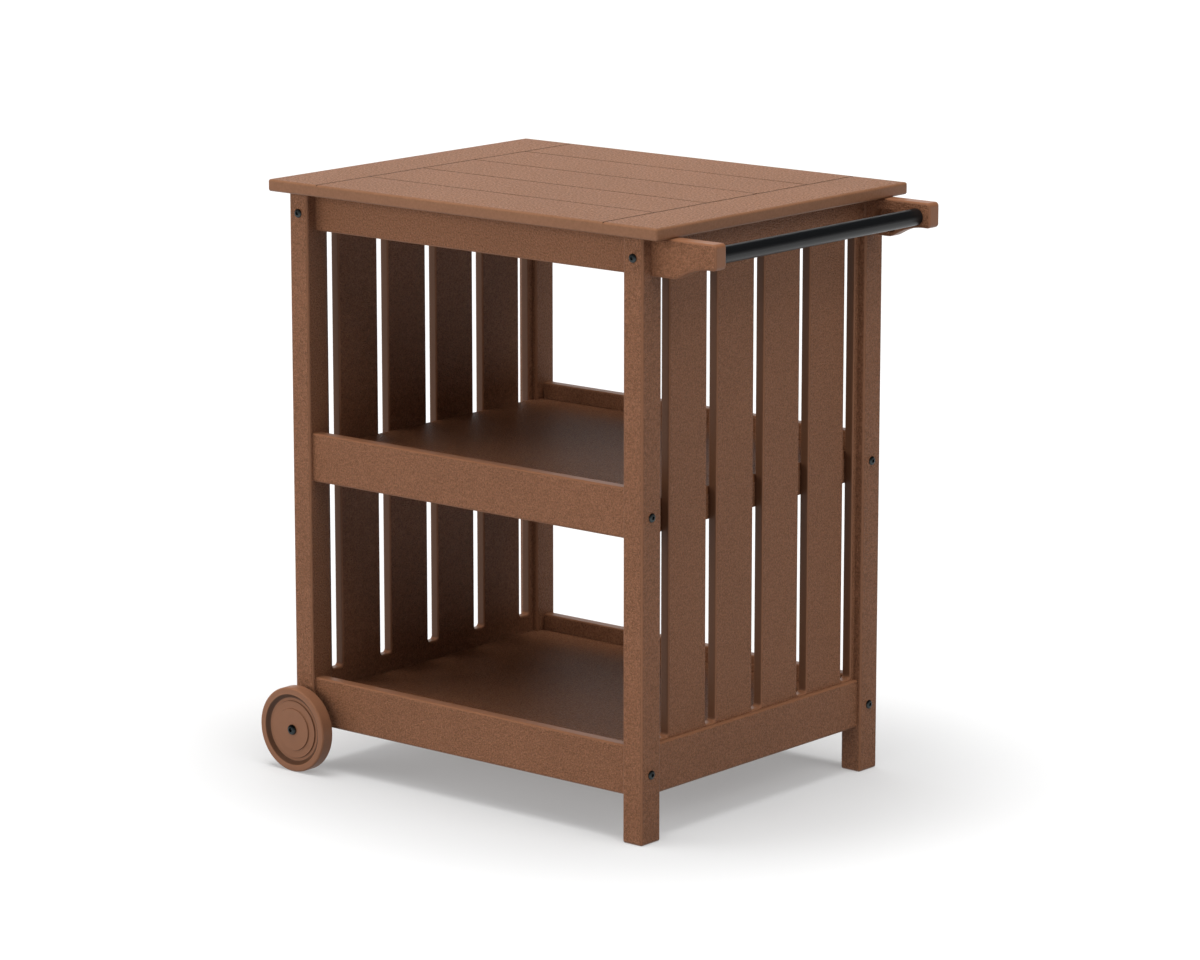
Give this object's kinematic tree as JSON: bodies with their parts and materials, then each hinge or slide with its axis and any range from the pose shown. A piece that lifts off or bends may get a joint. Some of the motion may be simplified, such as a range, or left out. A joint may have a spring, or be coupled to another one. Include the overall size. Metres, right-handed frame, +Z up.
{
  "type": "bar cart",
  "caption": "Outdoor bar cart in brown plastic lumber: grooved top, two shelves between railed sides, slotted end panels, side wheels and a round push bar on swept brackets.",
  "frame": {"origin": "on the floor under the middle of the cart's bounding box", "axes": "+X along the cart towards the push bar, +Y from the front to the back, +Z up"},
  "size_m": [0.8572, 0.6368, 0.9144],
  "materials": {
    "frame_lumber": "fine-grained matte plastic lumber",
    "top_lumber": "fine-grained matte plastic lumber",
    "wheel_plastic": "turned matte plastic",
    "black_hardware": "black oxide",
    "bar_coating": "satin black powder coat",
    "bush_nylon": "natural nylon",
    "stainless_steel": "plain stainless steel"
  },
  "bodies": {
    "frame": {"angle_screws": "stainless_steel", "back_apron": "frame_lumber", "back_axle_bolt": "black_hardware", "back_axle_insert": "stainless_steel", "back_bottom_rail": "frame_lumber", "back_handle_bracket": "frame_lumber", "back_left_post": "frame_lumber", "back_mid_rail": "frame_lumber", "back_right_post": "frame_lumber", "back_wheel_spacer": "stainless_steel", "bottom_shelf": "frame_lumber", "bottom_shelf_back_cleat": "frame_lumber", "bottom_shelf_front_cleat": "frame_lumber", "bottom_shelf_left_cleat": "frame_lumber", "bottom_shelf_right_cleat": "frame_lumber", "cleat_screws": "stainless_steel", "end_apron_screws": "black_hardware", "front_apron": "frame_lumber", "front_axle_bolt": "black_hardware", "front_axle_insert": "stainless_steel", "front_bottom_rail": "frame_lumber", "front_handle_bracket": "frame_lumber", "front_left_post": "frame_lumber", "front_mid_rail": "frame_lumber", "front_right_post": "frame_lumber", "front_wheel_spacer": "stainless_steel", "handle_bar": "bar_coating", "left_end_apron": "frame_lumber", "left_end_rail": "frame_lumber", "left_slotted_panel": "frame_lumber", "long_apron_screws": "black_hardware", "mid_shelf": "frame_lumber", "mid_shelf_back_cleat": "frame_lumber", "mid_shelf_front_cleat": "frame_lumber", "mid_shelf_left_cleat": "frame_lumber", "mid_shelf_right_cleat": "frame_lumber", "rail_screws": "black_hardware", "right_end_apron": "frame_lumber", "right_end_rail": "frame_lumber", "right_slotted_panel": "frame_lumber", "tabletop": "top_lumber", "top_angles": "stainless_steel"},
    "front_wheel": {"front_wheel": "wheel_plastic", "front_wheel_bush": "bush_nylon"},
    "back_wheel": {"back_wheel": "wheel_plastic", "back_wheel_bush": "bush_nylon"}
  },
  "joints": [
    {"name": "front_wheel_spin", "type": "hinge", "parent": "frame", "child": "front_wheel", "pos_m": [-0.36228, -0.3042, 0.0663], "axis": [0, 1, 0], "continuous": true},
    {"name": "back_wheel_spin", "type": "hinge", "parent": "frame", "child": "back_wheel", "pos_m": [-0.36228, 0.3042, 0.0663], "axis": [0, 1, 0], "continuous": true}
  ]
}
